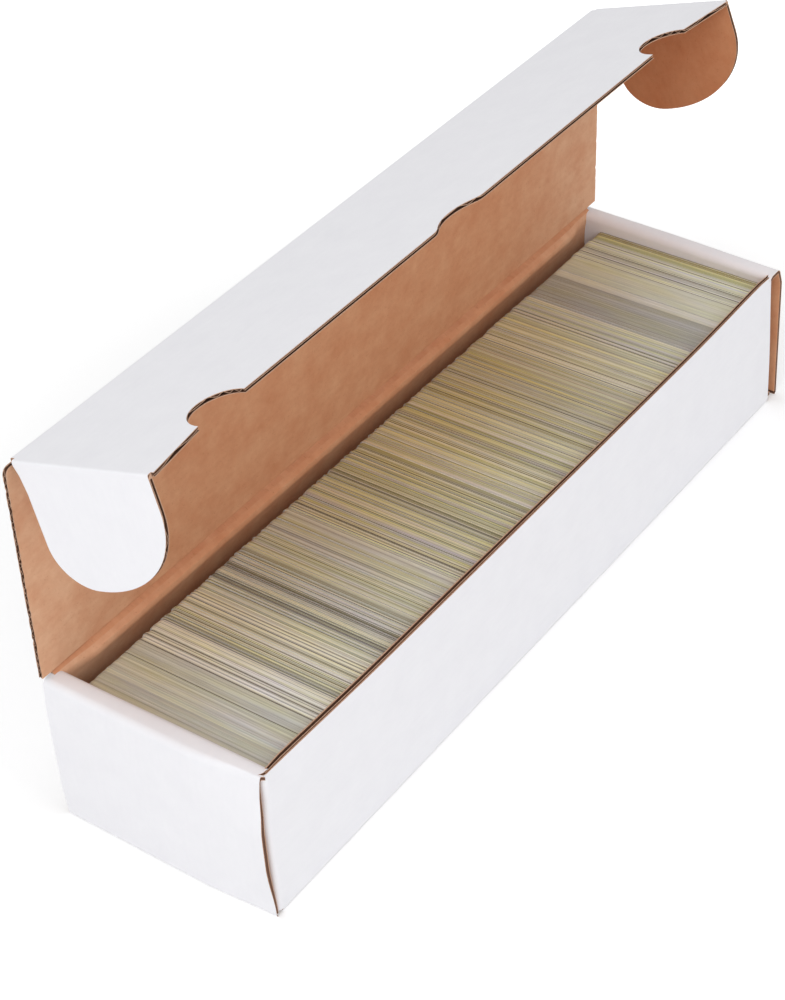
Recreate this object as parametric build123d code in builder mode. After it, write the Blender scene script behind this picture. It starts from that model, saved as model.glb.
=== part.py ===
from build123d import *
from math import cos, radians, sin
import os

# One-piece folding box of thin corrugated board for trading cards, with its lid open and the cards in it.
# Origin at the centre of the underside. X runs along the box, -Y is the front wall and +Z is up.

# Board
board = 1.8  # thickness of the corrugated board
crush = 0.2  # gap between a scored crease and the panels that it joins

# Trading cards, standing on a long edge
card_width = 88.9
card_height = 63.5
card_front_gap = 1.2  # from the cards to the front wall
card_back_gap = 8.3
card_seat_gap = 0.3
card_headroom = 6.4  # from the cards up to the rim
bundle_count = 10
bundle_gap = 0.3

# Outside of the tray, which is as deep and as tall as the cards need
box_length = 386.0
box_depth = card_width + card_front_gap + card_back_gap + 2 * board
box_height = card_height + card_seat_gap + card_headroom + board

# Walls
wall_corner_radius = 1.2  # upright creases from a long wall to its corner flaps
floor_bend_radius = 1.5  # creases from the floor to the walls
front_wall_drop = 0.3  # how far the raw front edge lies below the rolled end walls

# End walls, from the outside in: outer panel, ear slot, corner flap, inner panel
slot_clearance = 0.2  # between an ear and the outer panel
slot_play = 1.0  # between an ear and the end of the front wall
layer_gap = 0.1  # between a corner flap and the inner panel
roll_radius = 3.0  # outside radius of the rolled top
wall_gap = 0.1  # between the rolled strip and the long walls
corner_flap_reach = 44.0
corner_flap_gap = 0.4  # above the floor and below the roll
tab_width = 24.0  # locking tabs of the inner panels
tab_spacing = 50.0
tab_reach = 1.5  # depth of a tab in the floor
tab_clearance = 0.3

# Lid
lid_angle = 88.3  # from closed
lid_seat_gap = 0.2  # between the closed lid and the end walls
lid_overhang = 1.0  # past each end wall
lid_corner_radius = 3.0
front_gap = 0.3  # between the closed flap and the front wall

# Front flap, with sizes along it counted from its crease
flap_fold = 70.6  # from flat
flap_reach = 66.0
flap_end_reach = 71.0  # the edge runs out to this at both ends
end_notch_radius = 12.5
end_notch_from_end = 41.0  # from the end of the flap to the middle of the notch
thumb_notch_width = 28.0
thumb_notch_depth = 5.0
thumb_notch_offset = -6.0
thumb_notch_blend = 6.0  # radius of the notch's two shoulders

# Ears, with sizes along the flap counted from its crease, and depths from the ear's own crease
ear_start = 4.0
ear_end = 69.8
ear_deepest = 23.0
ear_depth = 49.2
ear_start_side = 33.0  # depth of the straight side by the lid
ear_end_side = 13.0  # depth of the straight side by the free edge

# Derived places
quarter_turn = 90
half_length = box_length / 2
half_depth = box_depth / 2
wall_inside = half_depth - board
slot_inside = half_length - 2 * board - slot_clearance - slot_play  # inner side of the ear slots
end_inside = slot_inside - 2 * board - layer_gap  # face of the inner end panels, towards the cards
roll_spring = box_height - roll_radius  # where the rolled tops start to curve
crease_clear = board / 2 + crush  # from the axis of a crease to the panels beside it
hinge_point = Vector(0, half_depth - board / 2, box_height + lid_seat_gap + board / 2)
lid_width = hinge_point.Y + half_depth + front_gap + board / 2  # crease to crease
lid_half_length = half_length + lid_overhang
ear_plane = half_length - board - slot_clearance - board / 2  # middle of an ear's thickness
flap_half_length = ear_plane - crease_clear

# The lid's planes: X along the box, Y away from the crease, Z towards the inside
along_box = Vector(1, 0, 0)
lid_tilt = radians(lid_angle)
lid_away = Vector(0, -cos(lid_tilt), sin(lid_tilt))
lid_inward = Vector(0, -sin(lid_tilt), -cos(lid_tilt))
lid_plane = Plane(origin=hinge_point, x_dir=along_box, z_dir=lid_inward)
flap_tilt = radians(lid_angle - flap_fold)
flap_away = Vector(0, -cos(flap_tilt), sin(flap_tilt))
flap_inward = Vector(0, -sin(flap_tilt), -cos(flap_tilt))
flap_point = hinge_point + lid_away * lid_width
flap_plane = Plane(origin=flap_point, x_dir=along_box, z_dir=flap_inward)

os.makedirs("parts", exist_ok=True)


# Floor, with a slot for each locking tab
with BuildPart() as floor_panel:
    with BuildSketch():
        Rectangle(2 * (half_length - board), 2 * wall_inside)
        with GridLocations(2 * end_inside + board, tab_spacing, 2, 2):
            Rectangle(board + 2 * tab_clearance, tab_width + 2 * tab_clearance, mode=Mode.SUBTRACT)
    extrude(amount=board)
floor_panel.part.label = "floor_panel"
export_step(floor_panel.part, "parts/floor_panel.step")

# Front wall: a single board with a raw top edge
with BuildPart() as front_wall:
    with BuildSketch():
        with Locations((0, -half_depth)):
            Rectangle(2 * slot_inside, board, align=(Align.CENTER, Align.MIN))
    extrude(amount=box_height - front_wall_drop)
    fillet(front_wall.edges().filter_by(Axis.Z).group_by(Axis.Y)[0], radius=wall_corner_radius)
    fillet(front_wall.faces().sort_by(Axis.Y)[0].edges().sort_by(Axis.Z)[0], radius=floor_bend_radius)
front_wall.part.label = "front_wall"
export_step(front_wall.part, "parts/front_wall.step")

# Back wall: ends just under the lid's crease
with BuildPart() as back_wall:
    with BuildSketch():
        with Locations((0, half_depth)):
            Rectangle(2 * slot_inside, board, align=(Align.CENTER, Align.MAX))
    extrude(amount=hinge_point.Z - crease_clear)
    fillet(back_wall.edges().filter_by(Axis.Z).group_by(Axis.Y)[-1], radius=wall_corner_radius)
    fillet(back_wall.faces().sort_by(Axis.Y)[-1].edges().sort_by(Axis.Z)[0], radius=floor_bend_radius)
back_wall.part.label = "back_wall"
export_step(back_wall.part, "parts/back_wall.step")

# End walls: each is one strip of the blank that rises, rolls over and goes down inside
for side, sign in (("left", -1), ("right", 1)):
    with BuildPart() as end_outer:
        with BuildSketch():
            with Locations((sign * (half_length - board / 2), 0)):
                Rectangle(board, box_depth)
        extrude(amount=roll_spring)
        bend = end_outer.edges().filter_by(Axis.Y).group_by(Axis.Z)[0].sort_by(Axis.X)
        fillet(bend[-1] if sign > 0 else bend[0], radius=floor_bend_radius)
    end_outer.part.label = f"{side}_end_outer"
    export_step(end_outer.part, f"parts/{side}_end_outer.step")

    roll_outer_x = half_length - roll_radius
    roll_inner_x = end_inside + roll_radius
    with BuildPart() as end_roll:
        profile_plane = Plane(origin=(0, half_depth, roll_spring), x_dir=(sign, 0, 0), z_dir=(0, -sign, 0))
        with BuildSketch(profile_plane):
            with BuildLine():
                outside_a = CenterArc((roll_outer_x, 0), roll_radius, 0, quarter_turn)
                outside_b = CenterArc((roll_inner_x, 0), roll_radius, quarter_turn, quarter_turn)
                inside_a = CenterArc((roll_outer_x, 0), roll_radius - board, 0, quarter_turn)
                inside_b = CenterArc((roll_inner_x, 0), roll_radius - board, quarter_turn, quarter_turn)
                Line(outside_a @ 1, outside_b @ 0)
                Line(inside_a @ 1, inside_b @ 0)
                Line(outside_a @ 0, inside_a @ 0)
                Line(outside_b @ 1, inside_b @ 1)
            make_face()
        extrude(amount=sign * box_depth)
        # Beside the long walls the strip stops at their inner faces
        with BuildSketch():
            with Locations((sign * end_inside, half_depth), (sign * end_inside, -half_depth)):
                Rectangle(2 * (slot_inside + wall_gap - end_inside), 2 * (board + wall_gap))
        extrude(amount=box_height, mode=Mode.SUBTRACT)
    end_roll.part.label = f"{side}_end_roll"
    export_step(end_roll.part, f"parts/{side}_end_roll.step")

    inner_x = sign * (end_inside + board / 2)
    with BuildPart() as end_inner:
        with BuildSketch(Plane.XY.offset(board)):
            with Locations((inner_x, 0)):
                Rectangle(board, 2 * (wall_inside - wall_gap))
        extrude(amount=roll_spring - board)
        with BuildSketch(Plane.XY.offset(board)):
            with Locations((inner_x, tab_spacing / 2), (inner_x, -tab_spacing / 2)):
                Rectangle(board, tab_width)
        extrude(amount=-tab_reach)
    end_inner.part.label = f"{side}_end_inner"
    export_step(end_inner.part, f"parts/{side}_end_inner.step")

    # Corner flaps of the long walls, held between the two layers of the end wall
    for wall, direction in (("front", -1), ("back", 1)):
        with BuildPart() as corner_flap:
            with BuildSketch(Plane.XY.offset(board + corner_flap_gap)):
                flap_x = sign * (slot_inside - board / 2)
                with Locations((flap_x, direction * (wall_inside - corner_flap_reach / 2))):
                    Rectangle(board, corner_flap_reach)
            extrude(amount=roll_spring - board - 2 * corner_flap_gap)
        corner_flap.part.label = f"{wall}_{side}_corner_flap"
        export_step(corner_flap.part, f"parts/{wall}_{side}_corner_flap.step")

# Lid crease: the scored strip that the lid turns on
with BuildPart() as lid_crease:
    with BuildSketch(Plane.YZ.offset(-slot_inside)):
        with Locations((hinge_point.Y, hinge_point.Z)):
            Circle(board / 2)
    extrude(amount=2 * slot_inside)
lid_crease.part.label = "lid_crease"
export_step(lid_crease.part, "parts/lid_crease.step")

# Lid top: longer than the tray, so that its raw ends cover the rolled end walls
with BuildPart() as lid_top:
    with BuildSketch(lid_plane):
        with Locations((0, lid_width / 2)):
            Rectangle(2 * lid_half_length, lid_width - 2 * crease_clear)
        fillet(vertices().group_by(Axis.Y)[-1], radius=lid_corner_radius)
    extrude(amount=board / 2, both=True)
lid_top.part.label = "lid_top"
export_step(lid_top.part, "parts/lid_top.step")

# Flap crease: the scored strip between the lid and its front flap
with BuildPart() as flap_crease:
    with BuildSketch(Plane.YZ.offset(-flap_half_length)):
        with Locations((flap_point.Y, flap_point.Z)):
            Circle(board / 2)
    extrude(amount=2 * flap_half_length)
flap_crease.part.label = "flap_crease"
export_step(flap_crease.part, "parts/flap_crease.step")

# Front flap: two half-moon notches near its ends and a thumb notch near the middle of its free edge
end_notch_x = flap_half_length - end_notch_from_end
thumb_half_width = thumb_notch_width / 2
thumb_notch_radius = (thumb_half_width**2 + thumb_notch_depth**2) / (2 * thumb_notch_depth)
with BuildPart() as lid_front_flap:
    with BuildSketch(flap_plane):
        with BuildLine():
            Polyline(
                (-flap_half_length, crease_clear),
                (flap_half_length, crease_clear),
                (flap_half_length, flap_end_reach),
                (end_notch_x + end_notch_radius, flap_reach),
                (-end_notch_x - end_notch_radius, flap_reach),
                (-flap_half_length, flap_end_reach),
                close=True,
            )
        make_face()
        with Locations((end_notch_x, flap_reach), (-end_notch_x, flap_reach)):
            Circle(end_notch_radius, mode=Mode.SUBTRACT)
        with Locations((thumb_notch_offset, flap_reach - thumb_notch_depth + thumb_notch_radius)):
            Circle(thumb_notch_radius, mode=Mode.SUBTRACT)
        shoulders = vertices().sort_by_distance((thumb_notch_offset, flap_reach))[:2]
        fillet(shoulders, radius=thumb_notch_blend)
    extrude(amount=board / 2, both=True)
lid_front_flap.part.label = "lid_front_flap"
export_step(lid_front_flap.part, "parts/lid_front_flap.step")

# Ears: half-moons folded down from the ends of the flap, each on its own crease
for side, sign in (("left", -1), ("right", 1)):
    ear_origin = flap_point + along_box * (sign * ear_plane)
    with BuildPart() as ear_crease:
        with BuildSketch(Plane(origin=ear_origin + flap_away * ear_start, z_dir=flap_away)):
            Circle(board / 2)
        extrude(amount=ear_end - ear_start)
    ear_crease.part.label = f"{side}_ear_crease"
    export_step(ear_crease.part, f"parts/{side}_ear_crease.step")

    with BuildPart() as ear:
        with BuildSketch(Plane(origin=ear_origin, x_dir=flap_away, z_dir=along_box)):
            with BuildLine():
                start_round = EllipticalCenterArc(
                    (ear_deepest, ear_start_side),
                    ear_deepest - ear_start,
                    ear_depth - ear_start_side,
                    start_angle=quarter_turn,
                    arc_size=quarter_turn,
                )
                end_round = EllipticalCenterArc(
                    (ear_deepest, ear_end_side),
                    ear_end - ear_deepest,
                    ear_depth - ear_end_side,
                    start_angle=0,
                    arc_size=quarter_turn,
                )
                Polyline(
                    (ear_start, ear_start_side),
                    (ear_start, crease_clear),
                    (ear_end, crease_clear),
                    (ear_end, ear_end_side),
                )
            make_face()
        extrude(amount=board / 2, both=True)
    ear.part.label = f"{side}_ear"
    export_step(ear.part, f"parts/{side}_ear.step")

# Trading cards: bundles side by side, which fill the tray from end to end
bundle_length = (2 * end_inside - (bundle_count + 1) * bundle_gap) / bundle_count
for index in range(bundle_count):
    bundle_x = -end_inside + bundle_gap + index * (bundle_length + bundle_gap)
    with BuildPart() as card_bundle:
        with BuildSketch(Plane.XY.offset(board + card_seat_gap)):
            with Locations((bundle_x, -wall_inside + card_front_gap)):
                Rectangle(bundle_length, card_width, align=(Align.MIN, Align.MIN))
        extrude(amount=card_height)
    card_bundle.part.label = f"card_bundle_{index + 1:02d}"
    export_step(card_bundle.part, f"parts/card_bundle_{index + 1:02d}.step")
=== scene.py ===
"""Looks of a folding corrugated box for trading cards.

One cut and scored board makes the tray and its lid, which stands open over a row of cards.
"""

import logging
import math
import random
from dataclasses import dataclass, field, replace
from enum import Enum
from typing import Callable, Iterable

import bmesh
import bpy
from bmesh.types import BMesh, BMFace, BMVert
from mathutils import Matrix, Vector, noise


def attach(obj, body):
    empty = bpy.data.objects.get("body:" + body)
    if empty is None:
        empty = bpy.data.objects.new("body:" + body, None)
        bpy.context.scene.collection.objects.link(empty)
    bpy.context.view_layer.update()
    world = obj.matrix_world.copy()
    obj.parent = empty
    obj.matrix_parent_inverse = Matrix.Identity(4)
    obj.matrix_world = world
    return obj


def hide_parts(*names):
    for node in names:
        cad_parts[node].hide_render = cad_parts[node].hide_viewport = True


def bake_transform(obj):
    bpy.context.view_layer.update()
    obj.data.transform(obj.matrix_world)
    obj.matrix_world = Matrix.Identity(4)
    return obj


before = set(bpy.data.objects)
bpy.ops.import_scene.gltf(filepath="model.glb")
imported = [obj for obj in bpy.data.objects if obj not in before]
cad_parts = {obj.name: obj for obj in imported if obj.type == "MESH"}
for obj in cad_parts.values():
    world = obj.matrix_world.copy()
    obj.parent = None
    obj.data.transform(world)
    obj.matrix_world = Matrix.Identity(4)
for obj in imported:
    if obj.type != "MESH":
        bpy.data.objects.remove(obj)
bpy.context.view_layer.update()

MM = 0.001  # the shapes are worked out in millimetres
IMAGE_WIDTH, IMAGE_HEIGHT = 785, 1000
AXIS_X, AXIS_Y, AXIS_Z = Vector((1, 0, 0)), Vector((0, 1, 0)), Vector((0, 0, 1))
SHARP_ANGLE = math.radians(35)
TOUCHING = 1e-3
SAME_PLACE = 1e-5
SAME_FLAT_PLACE = 1e-7
PLAIN = (1.0, 1.0, 1.0)  # multiplied in, it leaves a colour as it is

Pair = tuple[float, float]
Triple = tuple[float, float, float]
Socket = bpy.types.NodeSocket
Material = bpy.types.Material
Piece = bpy.types.Object
Warp = Callable[[Vector], Vector]

log = logging.getLogger("card_box")


class Skin(Enum):
    """Which finish a face of the board takes, by its place in the piece's list of materials."""

    WHITE = 0
    KRAFT = 1
    CUT = 2
    # FLUTE faces take a near-black brown, painted shade for the flute channels
    FLUTE = 3


@dataclass(frozen=True)
class BoardStock:
    """The corrugated board, in millimetres: two liners with a fluted sheet between them."""

    thickness: float = 1.8
    liner: float = 0.3
    medium: float = 0.2
    pitch: float = 3.5
    steps: int = 8
    crush_gap: float = 1.1
    wave_inset: float = 0.4
    crushed_end: float = 0.8
    inner_radius: float = 0.15

    @property
    def half(self) -> float:
        """Half the board's thickness."""
        return self.thickness / 2

    def wave(self, across: float, phase: float = 0.0) -> float:
        """Height of the fluted sheet over the board's middle, at a place across the flutes."""
        height = self.half - self.liner - self.medium / 2
        return height * math.sin(2 * math.pi * across / self.pitch + phase)


@dataclass(frozen=True)
class BoxSizes:
    """The box's own sizes, in millimetres, as its solids have them."""

    half_length: float = 193.0
    half_depth: float = 51.0
    height: float = 72.0
    wall_corner: float = 1.2
    worn_corner: float = 2.6
    floor_bend: float = 1.5
    front_drop: float = 0.3
    slot_clearance: float = 0.2
    slot_play: float = 1.0
    layer_gap: float = 0.1
    roll_radius: float = 3.0
    roll_lead: float = 0.3
    wall_gap: float = 0.1
    tab_width: float = 24.0
    tab_spacing: float = 50.0
    tab_reach: float = 1.5
    tab_clearance: float = 0.3
    corner_flap_reach: float = 44.0
    corner_flap_gap: float = 0.4
    lid_angle: float = 88.3
    lid_seat: float = 0.2
    lid_overhang: float = 1.0
    lid_corner: float = 3.0
    front_gap: float = 0.3
    flap_fold: float = 70.6
    flap_reach: float = 66.0
    flap_end_reach: float = 71.0
    end_notch_radius: float = 12.5
    end_notch_from_end: float = 41.0
    thumb_width: float = 28.0
    thumb_depth: float = 5.0
    thumb_offset: float = -6.0
    thumb_shoulder: float = 2.2
    ear_start: float = 4.0
    ear_end: float = 69.8
    ear_deepest: float = 23.0
    ear_depth: float = 49.2
    ear_start_side: float = 33.0
    ear_end_side: float = 13.0
    card_width: float = 88.9
    card_height: float = 63.5
    card_front_gap: float = 1.2
    card_seat: float = 0.3
    bundles: int = 10
    bundle_gap: float = 0.3


STOCK = BoardStock()
BOX = BoxSizes()
WALL_INSIDE = BOX.half_depth - STOCK.thickness
SLOT_INSIDE = BOX.half_length - 2 * STOCK.thickness - BOX.slot_clearance - BOX.slot_play
END_INSIDE = SLOT_INSIDE - 2 * STOCK.thickness - BOX.layer_gap
ROLL_SPRING = BOX.height - BOX.roll_radius
ROLL_FOOT = ROLL_SPRING - BOX.roll_lead
HINGE = Vector((0, BOX.half_depth - STOCK.half, BOX.height + BOX.lid_seat + STOCK.half))
LID_WIDTH = HINGE.y + BOX.half_depth + BOX.front_gap + STOCK.half
LID_HALF = BOX.half_length + BOX.lid_overhang
EAR_PLANE = BOX.half_length - STOCK.thickness - BOX.slot_clearance - STOCK.half
FLAP_HALF = EAR_PLANE - STOCK.crush_gap


def leaning_axes(degrees: float) -> tuple[Vector, Vector]:
    """Directions of a board that hangs on a crease along X.

    Args:
        degrees: how far it stands from lying closed.

    Returns:
        The direction away from the crease, and the one towards the box's inside.
    """
    tilt = math.radians(degrees)
    return Vector((0, -math.cos(tilt), math.sin(tilt))), Vector((0, -math.sin(tilt), -math.cos(tilt)))


LID_AWAY, LID_INWARD = leaning_axes(BOX.lid_angle)
FLAP_AWAY, FLAP_INWARD = leaning_axes(BOX.lid_angle - BOX.flap_fold)
FLAP_POINT = HINGE + LID_AWAY * LID_WIDTH


def placement(origin: Vector, along: Vector, away: Vector, inward: Vector) -> Matrix:
    """Matrix that puts a board drawn flat in its place: X on along, Y on away and its inside on inward."""
    return Matrix.Translation(origin) @ Matrix((along, away, inward)).transposed().to_4x4()


# ---------------------------------------- finishes


class Nodes:
    """A small hand for wiring the nodes of a material, a world or a group."""

    def __init__(self, tree: bpy.types.NodeTree) -> None:
        """Takes the tree to work in."""
        self.tree = tree

    def feed(self, socket: Socket, given: object) -> None:
        """Links or sets an input.

        Args:
            socket: the input.
            given: a socket to link, or a value; a colour's alpha may be left out.
        """
        if isinstance(given, Socket):
            self.tree.links.new(given, socket)
        elif isinstance(given, tuple) and len(given) < len(socket.default_value):
            socket.default_value = (*given, 1)
        else:
            socket.default_value = given

    def add(self, kind: str, *sources: object, **settings: object) -> bpy.types.Node:
        """Adds a shader node.

        Args:
            kind: its type, without the words that all shader nodes begin with.
            sources: sockets or values for its first inputs, in order.
            settings: its attributes, or its inputs by name with underscores for spaces.

        Returns:
            The new node.
        """
        node = self.tree.nodes.new(f"ShaderNode{kind}")
        for key, value in settings.items():
            if hasattr(node, key):
                setattr(node, key, value)
            else:
                self.feed(node.inputs[key.replace("_", " ")], value)
        for socket, given in zip(node.inputs, sources):
            self.feed(socket, given)
        return node

    def out(self, kind: str, *sources: object, **settings: object) -> Socket:
        """Adds a shader node and gives its first output."""
        return self.add(kind, *sources, **settings).outputs[0]

    def object_place(self) -> Socket:
        """The place on the object, in metres."""
        return self.add("TexCoord").outputs["Object"]

    def math(self, operation: str, *sources: object) -> Socket:
        """A sum or other operation on values."""
        return self.out("Math", *sources, operation=operation)

    def speckle(self, place: Socket, scale: float, detail: float, roughness: float) -> Socket:
        """A noise from 0 to 1."""
        return self.out("TexNoise", place, Scale=scale, Detail=detail, Roughness=roughness)

    def ramp(self, value: Socket, *stops: tuple[float, Triple]) -> Socket:
        """A colour ramp.

        Args:
            value: the socket that drives it.
            stops: places from 0 to 1, and their colours.

        Returns:
            Its colour.
        """
        node = self.add("ValToRGB", value)
        band = node.color_ramp.elements
        while len(band) < len(stops):
            band.new(0.5)
        for element, (place, colour) in zip(band, stops):
            element.position, element.color = place, (*colour, 1)
        return node.outputs[0]

    def mix(self, how: str, share: object, first: object, second: object) -> Socket:
        """A colour mix.

        Args:
            how: Blender's name of the blend.
            share: how much of it, as a number or a socket.
            first: the colour below, or its socket.
            second: the colour that is mixed in, or its socket.

        Returns:
            The mixed colour.
        """
        node = self.add("Mix", data_type="RGBA", blend_type=how)
        for index, given in ((0, share), (6, first), (7, second)):
            self.feed(node.inputs[index], given)
        return node.outputs[2]


def new_group(name: str, inputs: dict[str, str], outputs: Iterable[str]) -> tuple[Nodes, object, object]:
    """Starts a node group.

    Args:
        name: its name.
        inputs: its inputs' names, and whether each is a Float or a Vector.
        outputs: names of its outputs, which are values.

    Returns:
        A hand on its nodes, the sockets that bring its inputs and those that take its outputs.
    """
    tree = bpy.data.node_groups.new(name, "ShaderNodeTree")
    for side, sockets in (("INPUT", inputs), ("OUTPUT", dict.fromkeys(outputs, "Float"))):
        for each, kind in sockets.items():
            tree.interface.new_socket(each, in_out=side, socket_type=f"NodeSocket{kind}")
    return Nodes(tree), tree.nodes.new("NodeGroupInput").outputs, tree.nodes.new("NodeGroupOutput").inputs


def fibre_group() -> bpy.types.NodeTree:
    """Paper fibre that every paper shares: a blotch, long grain and flecks.

    Returns:
        The group, with inputs Vector, Stretch and Scale, and outputs Blotch, Grain, Fleck and Height.
    """
    inputs = {"Vector": "Vector", "Stretch": "Vector", "Scale": "Float"}
    hand, given, sinks = new_group("paper_fibre", inputs, ("Blotch", "Grain", "Fleck", "Height"))
    stretched = hand.out("VectorMath", given["Vector"], given["Stretch"], operation="MULTIPLY")
    scaled = hand.out("VectorMath", stretched, operation="SCALE", Scale=given["Scale"])
    tones = {
        "Blotch": hand.speckle(given["Vector"], 70.0, 6.0, 0.62),
        "Grain": hand.speckle(scaled, 420.0, 5.0, 0.65),
        "Fleck": hand.speckle(scaled, 1500.0, 2.0, 0.5),
    }
    tones["Height"] = hand.math("ADD", tones["Grain"], tones["Fleck"])
    for name, tone in tones.items():
        hand.feed(sinks[name], tone)
    return hand.tree


def flute_line_group() -> bpy.types.NodeTree:
    """The faint lines that the flutes press through a liner.

    Returns:
        The group, with inputs Across and Pitch, both in metres, and the output Line from 0 to 1.
    """
    hand, given, sinks = new_group("flute_lines", {"Across": "Float", "Pitch": "Float"}, ("Line",))
    turns = hand.math("DIVIDE", given["Across"], given["Pitch"])
    wave = hand.math("SINE", hand.math("MULTIPLY", turns, 2 * math.pi))
    hand.feed(sinks["Line"], hand.math("MULTIPLY_ADD", wave, 0.5, 0.5))
    return hand.tree


@dataclass(frozen=True)
class Effects:
    """The effects that the papers share, each as a node group."""

    fibre: bpy.types.NodeTree
    flute_lines: bpy.types.NodeTree

    def fibres(self, hand: Nodes, place: Socket, stretch: Triple = PLAIN, scale: float = 1.0) -> object:
        """Places the fibre in a material, and gives its outputs."""
        return hand.add("Group", node_tree=self.fibre, Vector=place, Stretch=stretch, Scale=scale).outputs


@dataclass(frozen=True, kw_only=True)
class Paper:
    """A paper finish: its name and how it takes light, with the depth of its bump in metres."""

    name: str
    roughness: float
    specular: float
    bump: float
    bump_depth: float

    def paint(self, hand: Nodes, effects: Effects) -> tuple[Socket, Socket]:
        """Wires the paper's pattern, and gives its colour and its height."""
        raise NotImplementedError

    def material(self, effects: Effects) -> Material:
        """Makes the material.

        Args:
            effects: the shared effects.

        Returns:
            The material.
        """
        material = bpy.data.materials.new(self.name)
        material.use_nodes = True
        material.node_tree.nodes.clear()
        hand = Nodes(material.node_tree)
        colour, height = self.paint(hand, effects)
        bump = hand.out("Bump", Strength=self.bump, Distance=self.bump_depth, Height=height)
        shader = hand.out("BsdfPrincipled", Base_Color=colour, Roughness=self.roughness,
                          Specular_IOR_Level=self.specular, Normal=bump)
        hand.add("OutputMaterial", Surface=shader)
        return material


@dataclass(frozen=True, kw_only=True)
class Liner(Paper):
    """The outside or inside paper of the board.

    A blotch goes from dark to light, and grain, flecks and the flutes' lines darken it. Its tint changes from
    the box's middle towards its ends, over the distances from the middle that fade gives in metres. These
    tints
    are painted light: on the kraft, a redder middle for bounce light and lighter, paler ends for lamp light.
    """

    dark: Triple
    light: Triple
    grain_dark: Triple
    fleck_dark: Triple
    grain: float
    fleck: float
    line_tint: float
    line_height: float
    stretch: Triple
    # middle and ends: painted light, one tint for the box's middle and one for its ends
    middle: Triple = PLAIN
    ends: Triple = PLAIN
    fade: Pair = (0.105, 0.190)
    bump_depth: float = 0.00012

    def paint(self, hand: Nodes, effects: Effects) -> tuple[Socket, Socket]:
        """Wires the pattern on the unfolded board, whose X runs along the flutes.

        Args:
            hand: the material's nodes.
            effects: the shared effects.

        Returns:
            The colour and the height.
        """
        place = hand.add("Attribute", attribute_name="flat_place").outputs["Vector"]
        apart = hand.add("SeparateXYZ", place).outputs
        fibre = effects.fibres(hand, place, self.stretch)
        line = hand.out("Group", node_tree=effects.flute_lines, Across=apart["Y"], Pitch=STOCK.pitch * MM)
        colour = hand.ramp(fibre["Blotch"], (0.3, self.dark), (0.7, self.light))
        for share, value, dark, (low, high) in (
            (self.grain, fibre["Grain"], self.grain_dark, (0.30, 0.62)),
            (self.fleck, fibre["Fleck"], self.fleck_dark, (0.26, 0.36)),
            (self.line_tint, line, self.grain_dark, (0.0, 1.0)),
        ):
            colour = hand.mix("MULTIPLY", share, colour, hand.ramp(value, (low, dark), (high, PLAIN)))
        # painted light: the middle's tint fades into the ends' tint
        away = hand.math("ABSOLUTE", apart["X"])
        faded = hand.out("MapRange", away, *self.fade, interpolation_type="SMOOTHSTEP")
        tint = hand.mix("MIX", faded, self.middle, self.ends)
        height = hand.math("MULTIPLY_ADD", line, self.line_height, fibre["Height"])
        return hand.mix("MULTIPLY", 1.0, colour, tint), height


@dataclass(frozen=True, kw_only=True)
class PlainPaper(Paper):
    """Paper of two tones, by one tone of the fibre over a span of its values."""

    dark: Triple
    light: Triple
    tone: str = "Grain"
    span: Pair = (0.35, 0.65)
    scale: float = 5.0
    roughness: float = 0.92
    specular: float = 0.15
    bump: float = 0.5
    bump_depth: float = 0.0002

    def paint(self, hand: Nodes, effects: Effects) -> tuple[Socket, Socket]:
        """Wires the two tones, and gives the colour and the height."""
        fibre = effects.fibres(hand, hand.object_place(), scale=self.scale)
        return hand.ramp(fibre[self.tone], *zip(self.span, (self.dark, self.light))), fibre["Height"]


@dataclass(frozen=True, kw_only=True)
class CardEdge(Paper):
    """Cut edges of the cards: each has its own tint, changed by streaks, clouds, a warmer patch and painted
    shade that makes them darker and yellower towards the back, under the lid.
    """

    name: str = "card_edge"
    roughness: float = 0.75
    specular: float = 0.25
    bump: float = 0.35
    bump_depth: float = 0.0001
    streak_scale: Triple = (2200.0, 48.0, 90.0)
    cloud_scale: Triple = (170.0, 26.0, 1.0)
    patch_centre: Triple = (0.032, 0.020, 0.065)
    patch_size: Triple = (0.120, 0.050, 1.0)
    patch_tint: Triple = (1.10, 1.03, 0.84)
    half_depth: float = 0.045

    def paint(self, hand: Nodes, effects: Effects) -> tuple[Socket, Socket]:
        """Wires the pattern over each card's tint.

        Args:
            hand: the material's nodes.
            effects: the shared effects.

        Returns:
            The colour and the height.
        """
        place = hand.object_place()
        colour = hand.add("Attribute", attribute_name="card_tint").outputs["Color"]
        streak = hand.speckle(hand.out("Mapping", place, Scale=self.streak_scale), 1.0, 4.0, 0.65)
        cloud = hand.speckle(hand.out("Mapping", place, Scale=self.cloud_scale), 1.0, 3.0, 0.55)
        # painted shade: the edges darken and yellow towards the back, under the lid
        across = hand.add("SeparateXYZ", place).outputs["Y"]
        along = hand.out("MapRange", across, -self.half_depth, self.half_depth)
        for tone in (
            hand.ramp(streak, (0.3, (0.83, 0.82, 0.80)), (0.7, (1.09, 1.09, 1.08))),
            hand.ramp(along, (0.0, PLAIN), (0.35, (0.98, 0.95, 0.91)), (0.8, (0.92, 0.85, 0.74))),
            hand.ramp(cloud, (0.35, (0.97, 0.98, 1.05)), (0.65, (1.02, 1.02, 0.88))),
        ):
            colour = hand.mix("MULTIPLY", 1.0, colour, tone)
        centred = hand.out("Mapping", place, vector_type="TEXTURE", Location=self.patch_centre,
                           Scale=self.patch_size)
        patch = hand.add("TexGradient", centred, gradient_type="SPHERICAL").outputs["Fac"]
        return hand.mix("MULTIPLY", patch, colour, self.patch_tint), streak


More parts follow.
